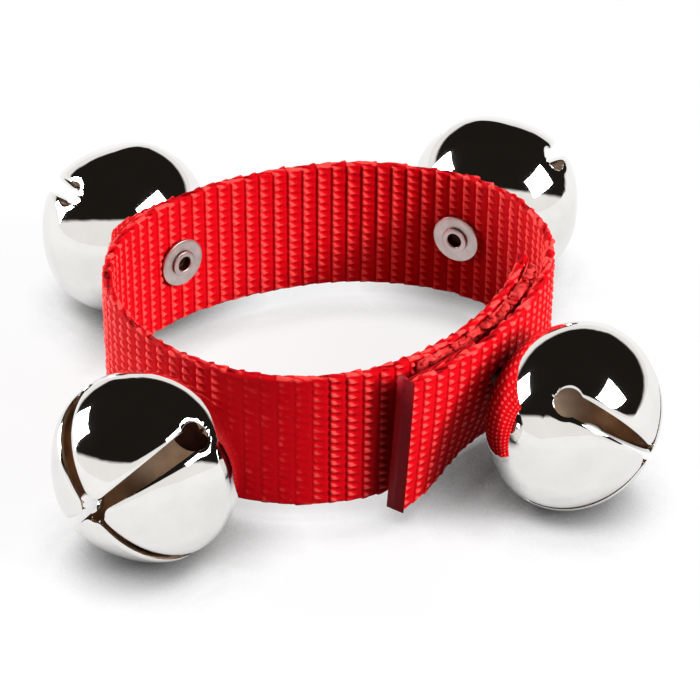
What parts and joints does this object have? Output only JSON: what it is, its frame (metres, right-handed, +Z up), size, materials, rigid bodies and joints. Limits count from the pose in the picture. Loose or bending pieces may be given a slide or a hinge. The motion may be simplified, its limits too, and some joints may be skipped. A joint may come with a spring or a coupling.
{
  "type": "wrist bells",
  "caption": "Ribbed webbing wrist strap closed in a loop by hook and loop patches, with slotted jingle bells riveted round its outside and a loose pellet inside each bell.",
  "frame": {"origin": "middle of the outline in plan, on the surface that the bells stand on", "axes": "+Z up through the wrist loop, +Y away from the side where the flap's tip lies, +X to the right of a viewer who looks along +Y"},
  "size_m": [0.0832, 0.089, 0.025],
  "materials": {
    "webbing": "ribbed nylon webbing",
    "hook_tape": "hook fastener tape",
    "loop_tape": "loop fastener tape",
    "bell_chrome": "mirror plate",
    "pellet_steel": "plain",
    "rivet_aluminium": "satin"
  },
  "bodies": {
    "strap": {"strap_band": "webbing", "loop_patch": "loop_tape", "rivet_2": "rivet_aluminium", "washer_2": "rivet_aluminium", "rivet_3": "rivet_aluminium", "washer_3": "rivet_aluminium", "rivet_4": "rivet_aluminium", "washer_4": "rivet_aluminium"},
    "flap": {"strap_flap": "webbing", "hook_patch": "hook_tape", "rivet_1": "rivet_aluminium", "washer_1": "rivet_aluminium"},
    "bell_1": {"bell_shell_1": "bell_chrome"},
    "pellet_1": {"pellet_1": "pellet_steel"},
    "bell_2": {"bell_shell_2": "bell_chrome"},
    "pellet_2": {"pellet_2": "pellet_steel"},
    "bell_3": {"bell_shell_3": "bell_chrome"},
    "pellet_3": {"pellet_3": "pellet_steel"},
    "bell_4": {"bell_shell_4": "bell_chrome"},
    "pellet_4": {"pellet_4": "pellet_steel"}
  },
  "joints": [
    {"name": "flap_peel", "type": "hinge", "parent": "strap", "child": "flap", "pos_m": [0.02895, 0.00839, 0.0125], "axis": [0, 0, 1], "range_deg": [0, 100]},
    {"name": "bell_1_turn", "type": "hinge", "parent": "flap", "child": "bell_1", "pos_m": [0.01998, -0.01622, 0.01499], "axis": [0.8566, -0.4691, -0.2147], "continuous": true},
    {"name": "pellet_1_bounce", "type": "slide", "parent": "flap", "child": "pellet_1", "axis": [0.1883, -0.1031, 0.9767], "range_m": [0, 0.0172]},
    {"name": "bell_2_turn", "type": "hinge", "parent": "strap", "child": "bell_2", "pos_m": [0.01752, 0.02314, 0.0125], "axis": [0.4841, 0.875, 0], "continuous": true},
    {"name": "pellet_2_bounce", "type": "slide", "parent": "strap", "child": "pellet_2", "axis": [0, 0, 1], "range_m": [0, 0.0172]},
    {"name": "bell_3_turn", "type": "hinge", "parent": "strap", "child": "bell_3", "pos_m": [-0.02234, 0.0166, 0.0125], "axis": [-0.6716, 0.7409, 0], "continuous": true},
    {"name": "pellet_3_bounce", "type": "slide", "parent": "strap", "child": "pellet_3", "axis": [0, 0, 1], "range_m": [0, 0.0172]},
    {"name": "bell_4_turn", "type": "hinge", "parent": "strap", "child": "bell_4", "pos_m": [-0.01795, -0.02341, 0.0125], "axis": [-0.5429, -0.8398, 0], "continuous": true},
    {"name": "pellet_4_bounce", "type": "slide", "parent": "strap", "child": "pellet_4", "axis": [0, 0, 1], "range_m": [0, 0.0172]}
  ]
}
